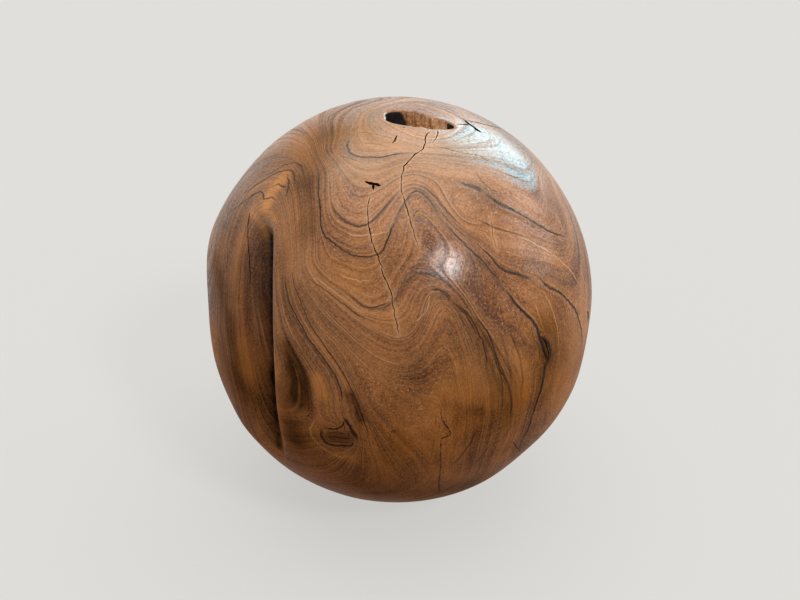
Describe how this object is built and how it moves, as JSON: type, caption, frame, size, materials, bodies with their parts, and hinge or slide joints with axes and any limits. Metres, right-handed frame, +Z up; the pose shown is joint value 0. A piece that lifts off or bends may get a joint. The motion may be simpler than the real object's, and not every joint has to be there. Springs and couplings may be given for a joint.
{
  "type": "wooden ball",
  "caption": "Solid ball of root wood for the floor, sanded and waxed, with a rotted heart open at the crown, a deep trunk fold down one side and drying checks.",
  "frame": {"origin": "middle of the sanded flat that the ball stands on", "axes": "+Z up through the crown, -Y the front that shows the fold at its left, +X to the right seen from the front"},
  "size_m": [0.4865, 0.5014, 0.507],
  "materials": {
    "wood": "sanded and waxed, satin"
  },
  "bodies": {
    "root": {"ball": "wood"}
  },
  "joints": []
}
